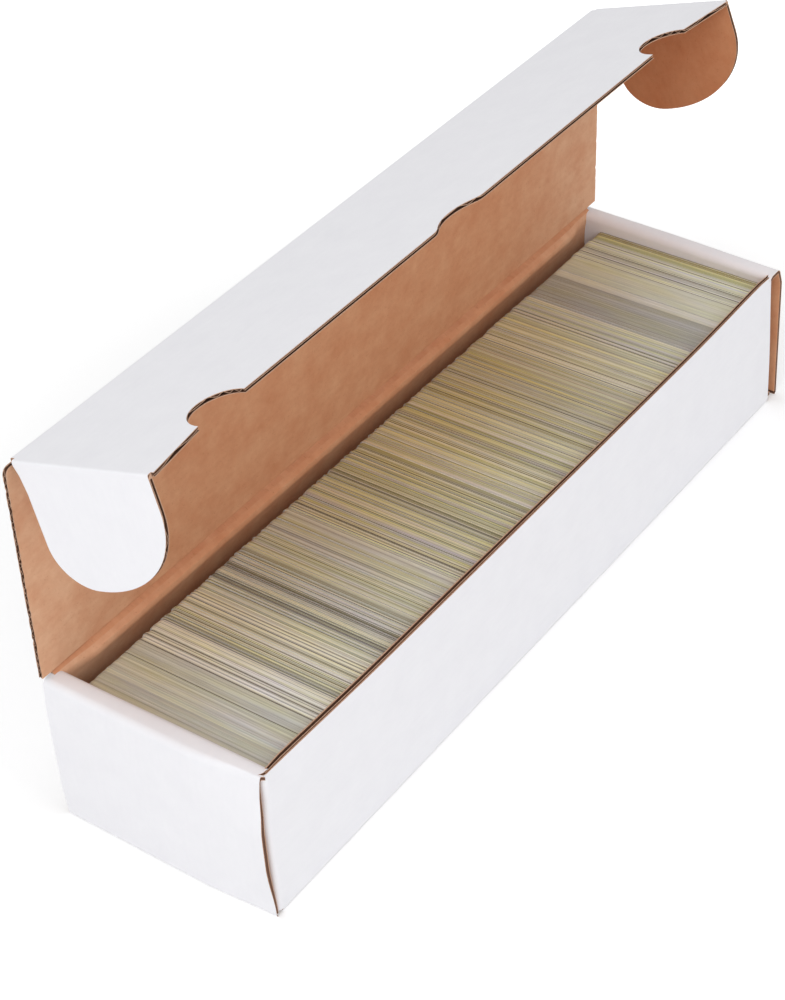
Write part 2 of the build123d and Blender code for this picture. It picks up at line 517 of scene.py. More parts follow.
WHITE_LINER = Liner(
    name="white_liner", dark=(0.802, 0.798, 0.828), light=(0.826, 0.823, 0.850),
    grain_dark=(0.95, 0.95, 0.96), fleck_dark=(0.92, 0.91, 0.90), grain=0.25, fleck=0.2, line_tint=0.06,
    line_height=0.8, stretch=(0.5, 1.0, 1.0), roughness=0.62, specular=0.35, bump=0.12)
# The kraft's middle and ends tints are painted light: a redder middle for bounce light, lighter and paler
# ends for lamp light.
KRAFT_LINER = Liner(
    name="kraft_liner", dark=(0.545, 0.264, 0.146), light=(0.618, 0.352, 0.212),
    grain_dark=(0.88, 0.83, 0.79), fleck_dark=(0.68, 0.60, 0.52), grain=0.45, fleck=0.4, line_tint=0.08,
    line_height=1.2, stretch=(0.75, 1.0, 1.0), roughness=0.88, specular=0.2, bump=0.22,
    middle=(1.06, 0.98, 0.92), ends=(1.13, 1.19, 1.26))
# Painted shade: a darker, redder copy of the kraft for the ears, which stand in shade and kraft bounce light.
SHADED_KRAFT_LINER = replace(KRAFT_LINER, name="shaded_kraft_liner", dark=(0.490, 0.200, 0.095),
                           light=(0.545, 0.255, 0.132), middle=PLAIN, ends=PLAIN)
CUT_PAPER = PlainPaper(name="cut_paper_edge", dark=(0.42, 0.245, 0.160), light=(0.60, 0.395, 0.280))
# Painted shade: the flute sheet, the liners' inner faces and the crushed cores take this near-black brown for
# the shade in the flute channels.
SHADED_FLUTE_PAPER = PlainPaper(name="shaded_flute_paper", dark=(0.105, 0.050, 0.031), light=(0.165, 0.082, 0.053))
CARD_FACE = PlainPaper(
    name="card_face", dark=(0.62, 0.62, 0.59), light=(0.70, 0.70, 0.67), tone="Blotch", span=(0.3, 0.7),
    scale=1.0, roughness=0.38, specular=0.5, bump=0.1, bump_depth=0.0001)


class Finishes:
    """The lists of materials that the pieces carry, the board's in the order of Skin."""

    def __init__(self) -> None:
        """Makes the shared effects and every material."""
        effects = Effects(fibre_group(), flute_line_group())
        papers = (WHITE_LINER, KRAFT_LINER, SHADED_KRAFT_LINER, CUT_PAPER, SHADED_FLUTE_PAPER, CardEdge(), CARD_FACE)
        white, kraft, shaded_kraft, cut, fluted, *self.cards = (paper.material(effects) for paper in papers)
        self.board = [white, kraft, cut, fluted]
        # the ears take the darker kraft copy, which is painted shade
        self.ear = [white, shaded_kraft, cut, fluted]


# ---------------------------------------- board


def points_of(made: Iterable[object]) -> list[BMVert]:
    """The points among what an operator made."""
    return [each for each in made if isinstance(each, BMVert)]


class Outline:
    """A closed flat outline, drawn from a few corners and spun arcs, in millimetres."""

    def __init__(self, *points: Pair) -> None:
        """Starts the drawing with straight runs through some points.

        Args:
            points: their places.
        """
        self.mesh: BMesh = bmesh.new()
        self.last: BMVert | None = None
        self.to(*points)

    def to(self, *points: Pair) -> "Outline":
        """Goes on straight through points.

        Args:
            points: their places.

        Returns:
            The outline.
        """
        for x, y in points:
            vert = self.mesh.verts.new((x, y, 0))
            if self.last is not None:
                self.mesh.edges.new((self.last, vert))
            self.last = vert
        return self

    def arc(self, centre: Pair, degrees: float, steps: int, squeeze: Pair = (1.0, 1.0)) -> "Outline":
        """Goes on in an arc from the last point.

        Args:
            centre: the arc's centre.
            degrees: how far it turns, positive to the left.
            steps: number of chords.
            squeeze: scale of the arc along X and Y, for an elliptical one.

        Returns:
            The outline.
        """
        pivot = Vector((*centre, 0))
        around = Matrix.Translation(-pivot)
        start = self.last
        bmesh.ops.scale(self.mesh, vec=(1 / squeeze[0], 1 / squeeze[1], 1), space=around, verts=[start])
        before = set(self.mesh.verts)
        made = bmesh.ops.spin(self.mesh, geom=[start], cent=pivot, axis=AXIS_Z, angle=math.radians(degrees),
                              steps=steps, use_duplicate=False)
        self.last = points_of(made["geom_last"])[0]
        new = [v for v in self.mesh.verts if v not in before]
        bmesh.ops.scale(self.mesh, vec=(*squeeze, 1), space=around, verts=[start, *new])
        return self

    def close(self) -> BMesh:
        """Closes the outline and fills it.

        Returns:
            A mesh that holds one face, seen from +Z.
        """
        bmesh.ops.remove_doubles(self.mesh, verts=self.mesh.verts, dist=SAME_PLACE)
        ends = [v for v in self.mesh.verts if len(v.link_edges) == 1]
        if len(ends) == 2:
            self.mesh.edges.new(ends)
        bmesh.ops.contextual_create(self.mesh, geom=list(self.mesh.edges))
        for face in self.mesh.faces:
            face.normal_update()
            if face.normal.z < 0:
                face.normal_flip()
        return self.mesh


def rectangle(x: Pair, y: Pair) -> BMesh:
    """A filled rectangle between two places along X and two along Y."""
    return Outline((x[0], y[0]), (x[1], y[0]), (x[1], y[1]), (x[0], y[1])).close()


def cut(mesh: BMesh, axis: Vector, places: Iterable[float]) -> None:
    """Cuts every face of a mesh along an axis.

    Args:
        mesh: the mesh to cut.
        axis: the direction across the cuts.
        places: where the cuts lie on it.
    """
    for place in places:
        everything = [*mesh.verts, *mesh.edges, *mesh.faces]
        bmesh.ops.bisect_plane(mesh, geom=everything, plane_co=axis * place, plane_no=axis)


def moved(mesh: BMesh, place: Matrix) -> BMesh:
    """Carries a layer to its place.

    Args:
        mesh: the layer.
        place: the matrix, in millimetres, which may mirror.

    Returns:
        The same mesh, with its faces still outwards.
    """
    bmesh.ops.transform(mesh, matrix=place, verts=mesh.verts)
    if place.determinant() < 0:
        bmesh.ops.reverse_faces(mesh, faces=mesh.faces)
    return mesh


@dataclass
class FlatBoard:
    """A flat panel of board: two liners and a real fluted sheet between them.

    The outline lies in X (along the flutes) and Y, and the inside of the box is up Z. The grid gives how many
    parts the sheets are cut into along X and the liners along Y, so that they can bow.
    """

    outline: BMesh
    flat_origin: Pair = (0.0, 0.0)
    grid: tuple[int, int] = (0, 0)
    phase: float = 0.0

    def divide(self, mesh: BMesh, axis: Vector, count: int) -> None:
        """Cuts a sheet across an axis into an even number of parts.

        Args:
            mesh: the sheet.
            axis: the way in which the parts follow each other.
            count: number of parts.
        """
        reach = [v.co.dot(axis) for v in self.outline.verts]
        low, high = min(reach), max(reach)
        cut(mesh, axis, (low + (high - low) * k / count for k in range(1, count)))

    def slab(self, low: float, high: float, skins: tuple[Skin, Skin]) -> BMesh:
        """Makes one liner.

        Args:
            low: height of its lower side.
            high: height of its upper side.
            skins: finishes of the lower and the upper side.

        Returns:
            A closed mesh.
        """
        mesh = self.outline.copy()
        self.divide(mesh, AXIS_X, self.grid[0])
        self.divide(mesh, AXIS_Y, self.grid[1])
        made = bmesh.ops.extrude_face_region(mesh, geom=list(mesh.faces), use_keep_orig=True)["geom"]
        bmesh.ops.translate(mesh, verts=points_of(made), vec=(0, 0, high - low))
        bmesh.ops.translate(mesh, verts=mesh.verts, vec=(0, 0, low))
        bmesh.ops.recalc_face_normals(mesh, faces=mesh.faces)
        for face in mesh.faces:
            face.smooth = abs(face.normal.z) > 0.5
            face.material_index = (skins[face.normal.z > 0] if face.smooth else Skin.CUT).value
        return mesh

    def fluted(self) -> BMesh:
        """Makes the fluted sheet, cut to the same outline.

        Returns:
            A closed wavy mesh between the liners.
        """
        mesh = self.outline.copy()
        step = STOCK.pitch / STOCK.steps
        reach = [v.co.y / step for v in mesh.verts]
        cut(mesh, AXIS_Y, (k * step for k in range(math.floor(min(reach)), math.ceil(max(reach)) + 1)))
        self.divide(mesh, AXIS_X, self.grid[0])
        for vert in mesh.verts:
            vert.co.z = STOCK.wave(vert.co.y, self.phase)
        bmesh.ops.solidify(mesh, geom=mesh.faces[:], thickness=STOCK.medium)
        bmesh.ops.translate(mesh, verts=mesh.verts, vec=(0, 0, -STOCK.medium / 2))
        bmesh.ops.recalc_face_normals(mesh, faces=mesh.faces)
        for face in mesh.faces:
            face.smooth = abs(face.normal.z) >= 0.3
            face.material_index = (Skin.FLUTE if face.smooth else Skin.CUT).value
        return mesh

    def layers(self, place: Matrix) -> list[BMesh]:
        """Makes the panel's three sheets.

        Args:
            place: where the panel goes, in millimetres.

        Returns:
            The sheets, in place, each with its points' places on the unfolded board.
        """
        half, liner = STOCK.half, STOCK.liner
        outside = self.slab(-half, -half + liner, (Skin.WHITE, Skin.FLUTE))
        sheets = [outside, self.slab(half - liner, half, (Skin.FLUTE, Skin.KRAFT)), self.fluted()]
        for sheet in sheets:
            flat = sheet.verts.layers.float_vector.new("flat_place")
            for vert in sheet.verts:
                vert[flat] = (vert.co + Vector((*self.flat_origin, 0))) * MM
            moved(sheet, place)
        return sheets


@dataclass
class Bend:
    """A step of a folded way: a straight run, then a turn towards the inside of the fold."""

    run: float
    degrees: float = 0.0
    radius: float = 0.0
    steps: int = 8


@dataclass
class Strip:
    """One sheet of the board, swept along a folded way.

    The way starts at the origin and runs up Z. The board's outside lies at X 0, and its thickness grows
    towards +X, which is the side that it folds to. Y is its width. Radii are the outside's.
    """

    width: Pair
    depth: Pair
    way: list[Bend]
    skins: tuple[Skin, Skin]
    waves: bool = False
    rows: int = 12
    run_step: float = 8.0
    flat_origin: Pair = (0.0, 0.0)
    rim: Skin = Skin.CUT

    def section(self) -> BMesh:
        """The end of the sheet, as faces that the sweep carries.

        Returns:
            A mesh with a strip of faces in XY.
        """
        mesh = bmesh.new()
        span = self.width[1] - self.width[0]
        count = round(span / STOCK.pitch * STOCK.steps) if self.waves else self.rows
        bmesh.ops.create_grid(mesh, x_segments=1, y_segments=max(1, count), size=0.5)
        bmesh.ops.scale(mesh, vec=(self.depth[1] - self.depth[0], span, 1), verts=mesh.verts)
        bmesh.ops.translate(mesh, vec=(sum(self.depth) / 2, sum(self.width) / 2, 0), verts=mesh.verts)
        return mesh

    def mesh(self) -> BMesh:
        """Sweeps the sheet.

        Returns:
            The closed sheet, with its finishes and each point's place on the unfolded board.
        """
        mesh = self.section()
        flat = mesh.verts.layers.float_vector.new("flat_place")
        for vert in mesh.verts:
            vert[flat] = Vector((self.flat_origin[0], vert.co.y + self.flat_origin[1], vert.co.x)) * MM
            if self.waves:
                vert.co.x += STOCK.wave(vert.co.y - self.width[0])
        front = list(mesh.faces)
        heading, side, corner = AXIS_Z.copy(), AXIS_X.copy(), Vector((0, 0, 0))
        for bend in self.way:
            pieces = math.ceil(bend.run / self.run_step)
            for _ in range(pieces):
                front, verts = self.grow(mesh, front, flat, bend.run / pieces)
                bmesh.ops.translate(mesh, verts=verts, vec=heading * (bend.run / pieces))
            corner = corner + heading * bend.run
            if bend.degrees:
                centre = corner + side * bend.radius
                angle = math.radians(bend.degrees / bend.steps)
                turn = Matrix.Rotation(angle, 3, "Y")
                for _ in range(bend.steps):
                    front, verts = self.grow(mesh, front, flat, angle * bend.radius)
                    bmesh.ops.rotate(mesh, verts=verts, cent=centre, matrix=turn)
                    corner, heading, side = centre + turn @ (corner - centre), turn @ heading, turn @ side
        bmesh.ops.recalc_face_normals(mesh, faces=mesh.faces)
        middle = sum(self.depth) / 2 * MM
        for face in mesh.faces:
            places = [v[flat] for v in face.verts]
            rim = any(max(p[k] for p in places) - min(p[k] for p in places) < SAME_FLAT_PLACE for k in (0, 1))
            inner = sum(p.z for p in places) / len(places) > middle
            face.material_index = (self.rim if rim else self.skins[inner]).value
            face.smooth = not rim
        return mesh

    @staticmethod
    def grow(mesh: BMesh, front: list[BMFace], flat: object, run: float) -> tuple[list[BMFace], list[BMVert]]:
        """Extrudes the front faces in place, and notes how far on the board they go.

        Args:
            mesh: the sheet.
            front: the faces that are carried on.
            flat: the layer with places on the unfolded board.
            run: the length of this step.

        Returns:
            The new front faces and their points, to be moved.
        """
        edges = dict.fromkeys(edge for face in front for edge in face.edges)
        made = bmesh.ops.extrude_face_region(mesh, geom=[*edges, *front], use_keep_orig=False)["geom"]
        verts = points_of(made)
        for vert in verts:
            vert[flat] = vert[flat] + Vector((run * MM, 0, 0))
        return [each for each in made if isinstance(each, BMFace)], verts


@dataclass
class FoldedBoard:
    """A strip of board with all its sheets. The inner liner may take its own way round a sharp fold."""

    width: Pair
    way: list[Bend]
    inner_way: list[Bend] | None = None
    waves: bool = True
    rows: int = 12
    run_step: float = 8.0
    flat_origin: Pair = (0.0, 0.0)
    # raw ends of the crushed strips default to the flute finish, painted shade
    rim: Skin = Skin.FLUTE

    def layers(self, place: Matrix) -> list[BMesh]:
        """Makes the strip's sheets, crushed solid at both edges, or all through where it has no waves.

        Args:
            place: where the strip goes, in millimetres.

        Returns:
            The sheets, in place.
        """
        full, liner, middle = STOCK.thickness, STOCK.liner, STOCK.medium / 2
        (low, high), inset, end = self.width, STOCK.wave_inset, STOCK.crushed_end
        # the crushed cores take the flute finish, painted shade, on both sides
        inner_way, core = self.inner_way or self.way, (Skin.FLUTE, Skin.FLUTE)
        shared = {"rows": self.rows, "run_step": self.run_step, "flat_origin": self.flat_origin}
        strips = [Strip(self.width, (0, liner), self.way, (Skin.WHITE, Skin.FLUTE), **shared),
                  Strip(self.width, (full - liner, full), inner_way, (Skin.FLUTE, Skin.KRAFT), **shared)]
        crushed = [self.width]
        if self.waves:
            depth = (STOCK.half - middle, STOCK.half + middle)
            strips.append(Strip((low + inset, high - inset), depth, inner_way, core, waves=True, **shared))
            crushed = [(low, low + end), (high - end, high)]
            shared["rows"] = 2
        depth = (liner, full - liner)
        strips += [Strip(width, depth, inner_way, core, rim=self.rim, **shared) for width in crushed]
        return [moved(strip.mesh(), place) for strip in strips]


def new_object(name: str, data: bpy.types.ID) -> Piece:
    """Puts a new object in the scene.

    Args:
        name: its name.
        data: the mesh, lamp or camera that it holds.

    Returns:
        The object.
    """
    made = bpy.data.objects.new(name, data)
    bpy.context.scene.collection.objects.link(made)
    return made


def finish_piece(name: str, layers: list[BMesh], materials: list[Material],
                 warp: Warp | None = None) -> Piece:
    """Joins layers into one object at the origin, with its place in the mesh.

    Args:
        name: the piece's name.
        layers: meshes in millimetres, which are used up.
        materials: the object's materials.
        warp: a last move of each point, in the box's own millimetres.

    Returns:
        The linked object.
    """
    whole = bmesh.new()
    whole.verts.layers.float_vector.new("flat_place")
    for layer in layers:
        scratch = bpy.data.meshes.new("scratch")
        layer.to_mesh(scratch)
        layer.free()
        whole.from_mesh(scratch)
        bpy.data.meshes.remove(scratch)
    if warp is not None:
        for vert in whole.verts:
            vert.co = warp(vert.co)
    bmesh.ops.scale(whole, vec=(MM, MM, MM), verts=whole.verts)
    for edge in whole.edges:
        edge.smooth = edge.calc_face_angle(0.0) < SHARP_ANGLE
    data = bpy.data.meshes.new(name)
    whole.to_mesh(data)
    whole.free()
    for material in materials:
        data.materials.append(material)
    return new_object(name, data)


def stand_for(node: str, body: str, layers: list[BMesh], materials: list[Material],
              warp: Warp | None = None) -> Piece:
    """Finishes a piece that stands for a node.

    Args:
        node: the solid that it replaces.
        body: the body that it rides on.
        layers: its sheets.
        materials: its finishes.
        warp: its unevenness.

    Returns:
        The object.
    """
    piece = finish_piece(f"{node}_board", layers, materials, warp)
    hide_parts(node)
    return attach(piece, body)


# ---------------------------------------- wear


def share(value: float, low: float, high: float) -> float:
    """0 at low, 1 at high and even between, with nothing beyond; high may be the lower place."""
    return min(1.0, max(0.0, (value - low) / (high - low)))


def rise(value: float, low: float, high: float) -> float:
    """The same as share, but smooth."""
    part = share(value, low, high)
    return part * part * (3 - 2 * part)


@dataclass(frozen=True)
class Push:
    """A move of a used panel's points, in millimetres.

    A pair gives the places between which the move comes in: smoothly along X, Y and Z, again along Z (top)
    and by the distance from the box's middle (out), and evenly where its name says so. A belly is full in the
    middle and gone at a distance from it.
    """

    move: Triple
    x: Pair | None = None
    y: Pair | None = None
    z: Pair | None = None
    top: Pair | None = None
    out: Pair | None = None
    even_x: Pair | None = None
    even_y: Pair | None = None
    even_z: Pair | None = None
    belly: float | None = None

    def __call__(self, point: Vector) -> Vector:
        """How far a point moves.

        Args:
            point: its even place.

        Returns:
            Its move.
        """
        x, y, z = point
        smooth = ((z, self.z), (y, self.y), (x, self.x), (z, self.top), (abs(x), self.out))
        even = ((x, self.even_x), (y, self.even_y), (z, self.even_z))
        amount = math.prod(rise(value, *pair) for value, pair in smooth if pair)
        amount *= math.prod(share(value, *pair) for value, pair in even if pair)
        if self.belly:
            amount *= 1 - (abs(x) / self.belly) ** 3
        return Vector(self.move) * amount


@dataclass(frozen=True)
class Wear:
    """How a used panel departs from its even shape: pushes that add up."""

    pushes: tuple[Push, ...]

    def __call__(self, point: Vector) -> Vector:
        """Gives a point's worn place."""
        return sum((push(point) for push in self.pushes), point)


FREE = {"y": (-16.0, -51.0), "even_x": (-188.4, -193.0)}
NEAR_RIM = {"x": (-190.0, -185.0), "z": (65.8, 69.5)}
NEAR_END_WEAR = Wear((
    # the rim leans in, more at the front
    Push((1.0, 0, 0), **NEAR_RIM),
    Push((1.0, 0, 0), **NEAR_RIM, y=(51.0, -51.0)),
    # the free edge is out at half height, and pressed in at its foot and top
    Push((-0.75, 0, 0), **FREE),
    Push((2.75, 0, 0), **FREE, z=(30.0, 0.0)),
    Push((4.4, 0, 0), **FREE, z=(44.0, 76.0)),
    Push((-0.85, 0, 0), even_x=FREE["even_x"], y=(-51.0, -16.0), z=(0.0, 18.0), top=(71.0, 54.0)),
    Push((0, 1.2, 0), y=(-46.0, -51.0), z=(52.0, 66.0), even_x=(-188.39, -188.41)),
))
FAR_END_WEAR = Wear((
    # the free edge stands off the slot
    Push((0.98, 0, 0), x=(188.0, 191.2), y=(-10.0, -51.0), z=(70.0, 62.0)),
    # the rim leans in, and sinks towards the front
    Push((-1.0, 0, 0), y=(10.0, -51.0), z=(62.0, 70.0)),
    Push((0, 0, -0.7), z=(62.0, 70.0)),
    Push((0, 0, 0.8), z=(62.0, 70.0), even_y=(-51.0, 51.0)),
))
WALL_FRONT = (-44.0, -49.0)
WALL_RIM = {"y": WALL_FRONT, "z": (60.0, 71.7)}
SPLAY = {"y": WALL_FRONT, "z": (66.0, 71.7), "even_y": (-51.0, -49.2),
         "out": (SLOT_INSIDE, 0.94 * SLOT_INSIDE)}
FRONT_WALL_WEAR = Wear((
    # the far end is short, and the near foot wide
    Push((-1.3, 0, 0), x=(110.0, 187.0), y=WALL_FRONT),
    Push((-1.1, 0, 0), x=(110.0, 187.0), y=WALL_FRONT, even_z=(0.0, 72.0)),
    Push((-1.5, 0, 0), x=(-176.0, -187.0), y=WALL_FRONT, z=(62.0, 46.0)),
    # the top corners sit in
    Push((0, 0.9, 0), y=WALL_FRONT, z=(20.0, 72.0), out=(0.6 * SLOT_INSIDE, SLOT_INSIDE)),
    # the cut edge is splayed, and less so at the far end
    Push((0, 1.0, 0), **SPLAY),
    Push((0, -0.9, 0), **SPLAY, x=(-90.0, 60.0)),
    # the rim sags, and its outer edge and far tip are crushed
    Push((0, 0, -0.7), **WALL_RIM, belly=SLOT_INSIDE),
    Push((0, 0, -0.35), y=WALL_FRONT, z=(69.5, 71.7), even_y=(-49.2, -51.0)),
    Push((0, 0, -0.8), **WALL_RIM, x=(176.0, 186.0)),
))


@dataclass(frozen=True)
class HingeWear:
    """The inside liner swells under the lid's score, which is pressed in as a groove."""

    ends: Pair = (182.0, 166.0)
    swell: float = 1.0
    swell_middle: float = 2.8
    swell_height: Pair = (52.0, 72.7)
    swell_power: float = 3.8
    groove: float = 0.85
    groove_width: float = 0.5

    def __call__(self, point: Vector) -> Vector:
        """Gives the worn place of a point of the back wall or the lid's score.

        Args:
            point: its even place.

        Returns:
            Its worn place.
        """
        most = self.swell + self.swell_middle * rise(abs(point.x), *self.ends)
        swell = most * math.sin(math.pi * share(point.z, *self.swell_height) ** self.swell_power)
        groove = self.groove * math.exp(-(((point.z - HINGE.z) / self.groove_width) ** 2))
        return point + AXIS_Y * ((groove - swell) * share(point.y, BOX.half_depth, WALL_INSIDE))


@dataclass(frozen=True)
class RaggedEnds:
    """The lid's cut ends, where liners and flutes are torn a little back."""

    reach: float = 0.5
    tear: float = 0.7
    coarse: Triple = (1.0, 2.3, 0.35)
    fine: Triple = (0.0, 4.1, 1.3)
    fine_start: Triple = (3.0, 0.0, 0.0)

    def __call__(self, point: Vector) -> Vector:
        """Gives the worn place of a point of the lid.

        Args:
            point: its even place.

        Returns:
            Its worn place.
        """
        if abs(point.x) < LID_HALF - self.reach:
            return point
        torn = noise.noise(point * Vector(self.coarse))
        torn += 0.5 * noise.noise(point * Vector(self.fine) + Vector(self.fine_start))
        return point - AXIS_X * math.copysign(max(0.0, torn) * self.tear, point.x)


# ---------------------------------------- the box


def skirt(width: Pair, place: Matrix) -> BMesh:
    """The outside liner along a wall's foot, where it bends up from the floor."""
    way = [Bend(0, 90, BOX.floor_bend, 5), Bend(STOCK.thickness - BOX.floor_bend)]
    return moved(Strip(width, (0, STOCK.liner), way, (Skin.WHITE, Skin.FLUTE), rows=40).mesh(), place)


@dataclass
class Tray:
    """The open tray: a floor, two long walls with corner flaps, and two rolled-over end walls.

    The far roll's raw end arches over the front wall's tip, by a run and a turn.
    """

    finishes: Finishes
    sharpest_core: float = 1.1
    sharp_run: float = 0.01
    arch_run: float = 1.3
    arch_degrees: float = 56.0
    corner_rows: int = 48
    made: list[Piece] = field(default_factory=list)

    def keep(self, node: str, layers: list[BMesh], warp: Warp) -> None:
        """Finishes a piece of the tray."""
        self.made.append(stand_for(node, "tray", layers, self.finishes.board, warp))

    def floor(self, warp: Warp) -> None:
        """Builds the floor, with its slots for the locking tabs.

        Args:
            warp: its unevenness.
        """
        x, y = BOX.half_length - STOCK.thickness, WALL_INSIDE
        outline = rectangle((-x, x), (-y, y))
        middle, half_slot = END_INSIDE + STOCK.half, STOCK.half + BOX.tab_clearance
        spacing, half_tab = BOX.tab_spacing / 2, BOX.tab_width / 2 + BOX.tab_clearance
        for axis, place, half in ((AXIS_X, middle, half_slot), (AXIS_Y, spacing, half_tab)):
            cut(outline, axis, (sign * place + edge for sign in (-1, 1) for edge in (-half, half)))
        slots = [f for f in outline.faces if abs(abs(f.calc_center_median().x) - middle) < half_slot
                 and abs(abs(f.calc_center_median().y) - spacing) < half_tab]
        bmesh.ops.delete(outline, geom=slots, context="FACES")
        place = placement(AXIS_Z * STOCK.half, AXIS_X, AXIS_Y, AXIS_Z)
        self.keep("floor_panel", FlatBoard(outline, grid=(4, 12)).layers(place), warp)

    def long_wall(self, name: str, sign: int, top: float, corners: Pair, warp: Warp) -> None:
        """Builds the front or the back wall, its rounded corners and its corner flaps.

        Args:
            name: front or back.
            sign: -1 for the front and 1 for the back.
            top: its height.
            corners: outside radii of its left and right corners.
            warp: its unevenness.
        """
        inward = AXIS_Y * -sign
        outside = AXIS_Y * (sign * BOX.half_depth)
        left, right = -SLOT_INSIDE + corners[0], SLOT_INSIDE - corners[1]
        foot, bend, liner, middle = STOCK.thickness, BOX.floor_bend, STOCK.liner, STOCK.medium / 2
        phase = math.pi * (0.5 if name == "back" else 0.0) - 2 * math.pi * top / STOCK.pitch
        board = FlatBoard(rectangle((left, right), (foot, top)), (0.0, 200.0), (40, 48), phase)
        layers = board.layers(placement(outside + inward * STOCK.half, AXIS_X, AXIS_Z, inward))
        layers.append(skirt((left, right), placement(outside + inward * bend, AXIS_Z, AXIS_X, -inward)))
        for end, radius in zip((-1, 1), corners):
            place = placement(outside + AXIS_X * (end * (SLOT_INSIDE - radius)), inward, AXIS_Z, AXIS_X * end)
            turn = Bend(0, 90, radius)
            inner = Bend(self.sharp_run) if radius < STOCK.thickness else turn
            core = Bend(0, 90, max(radius, self.sharpest_core))
            for depth, way, skins in (
                ((0, liner), turn, (Skin.WHITE, Skin.FLUTE)),
                ((STOCK.half - middle, STOCK.half + middle), core, (Skin.FLUTE, Skin.FLUTE)),
                ((foot - liner, foot), inner, (Skin.FLUTE, Skin.KRAFT)),
            ):
                strip = Strip((bend, top), depth, [way], skins, rows=self.corner_rows)
                layers.append(moved(strip.mesh(), place))
        self.keep(f"{name}_wall", layers, warp)
        low, high = foot + BOX.corner_flap_gap, ROLL_SPRING - BOX.corner_flap_gap
        for side, end, radius in zip(("left", "right"), (-1, 1), corners):
            flap = rectangle((WALL_INSIDE - BOX.corner_flap_reach, BOX.half_depth - radius), (low, high))
            middle = AXIS_X * (end * (SLOT_INSIDE - STOCK.half))
            layers = FlatBoard(flap, (200.0, 200.0), (16, 46)).layers(
                placement(middle, AXIS_Y * sign, AXIS_Z, AXIS_X * -end))
            self.keep(f"{name}_{side}_corner_flap", layers, warp)

    def end_wall(self, side: str, sign: int, warp: Warp) -> None:
        """Builds one end wall: outer panel, rolled top and inner panel, which are one strip of the board.

        Args:
            side: left or right.
            sign: -1 or 1 for that end.
            warp: its unevenness.
        """
        half, full, radius, lead = BOX.half_depth, STOCK.thickness, BOX.roll_radius, BOX.roll_lead
        place = placement(AXIS_X * (sign * BOX.half_length), AXIS_X * -sign, AXIS_Y * -sign, AXIS_Z)
        outer = FoldedBoard((-half, half), [Bend(ROLL_FOOT - full)], rows=60, run_step=3.0)
        foot = skirt((-half, half), place @ placement(AXIS_X * BOX.floor_bend, AXIS_Z, AXIS_Y, -AXIS_X))
        self.keep(f"{side}_end_outer", [foot, *outer.layers(place @ Matrix.Translation((0, 0, full)))], warp)
        spring = place @ Matrix.Translation((0, 0, ROLL_FOOT))
        edge = WALL_INSIDE - BOX.wall_gap
        flat_top = Bend(BOX.half_length - END_INSIDE - 2 * radius)
        outboard = Bend(BOX.half_length - SLOT_INSIDE - BOX.wall_gap - radius)
        shared = {"run_step": 1.5, "flat_origin": (ROLL_FOOT - full, 0.0)}
        start = [Bend(lead), Bend(0, 90, radius)]
        way = [*start, flat_top, *reversed(start)]
        layers = FoldedBoard((-edge, edge), way, rows=56, **shared).layers(spring)
        arch = [outboard]
        if sign > 0:
            arch = [Bend(flat_top.run + self.arch_run), Bend(0, self.arch_degrees, radius)]
        for low, high, rest in ((-half, -edge, [outboard]), (edge, half, arch)):
            layers += FoldedBoard((low, high), [*start, *rest], rows=2, waves=False, **shared).layers(spring)
        self.keep(f"{side}_end_roll", layers, warp)
        tab, spacing, toe = BOX.tab_width / 2, BOX.tab_spacing / 2, full - BOX.tab_reach
        panel = Outline((full, -edge))
        for middle in (-spacing, spacing):
            panel.to((full, middle - tab), (toe, middle - tab), (toe, middle + tab), (full, middle + tab))
        panel.to((full, edge), (ROLL_FOOT, edge), (ROLL_FOOT, -edge))
        place = placement(AXIS_X * (sign * (END_INSIDE + STOCK.half)), AXIS_Z, AXIS_Y, AXIS_X * sign)
        self.keep(f"{side}_end_inner", FlatBoard(panel.close(), (140.0, 0.0), (24, 20)).layers(place), warp)

    def build(self) -> list[Piece]:
        """Builds the tray.

        Returns:
            Its pieces.
        """
        corner = BOX.wall_corner
        self.floor(NEAR_END_WEAR)
        self.long_wall("front", -1, BOX.height - BOX.front_drop, (BOX.worn_corner, corner), FRONT_WALL_WEAR)
        self.long_wall("back", 1, HINGE.z - STOCK.crush_gap, (corner, corner), HingeWear())
        self.end_wall("left", -1, NEAR_END_WEAR)
        self.end_wall("right", 1, FAR_END_WEAR)
        return self.made


@dataclass
class Fold:
    """A scored fold between two panels: the board is crushed along it, and it is built straight or bent by a
    given angle.
    """

    name: str
    node: str
    bodies: tuple[str, str]
    point: Vector
    axis: Vector
    before: Vector
    after: Vector
    outward: Vector
    reach: Pair
    degrees: float
    warp: Warp | None = None

    def build(self, finishes: Finishes) -> Piece:
        """Makes the fold's skin, straight or bent.

        Args:
            finishes: the materials.

        Returns:
            The object, which blends between its two panels.
        """
        gap, half, inner_radius = STOCK.crush_gap, STOCK.half, STOCK.inner_radius
        turn = math.radians(self.degrees / 2)
        start = self.point - self.before * gap + self.outward * half
        place = placement(start, -self.outward, self.axis, self.before)
        way = inner = [Bend(2 * gap)]
        if self.degrees:
            lead = Bend(max(0.02, gap - (half + inner_radius) * math.tan(turn)))
            way = [Bend(gap), Bend(0, self.degrees, half), Bend(gap)]
            inner = [lead, Bend(0, self.degrees, STOCK.thickness + inner_radius), lead]
        board = FoldedBoard(self.reach, way, inner, waves=False, rows=40, run_step=0.28, rim=Skin.CUT)
        piece = finish_piece(self.name, board.layers(place), finishes.board, self.warp)
        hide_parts(self.node)
        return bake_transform(piece)


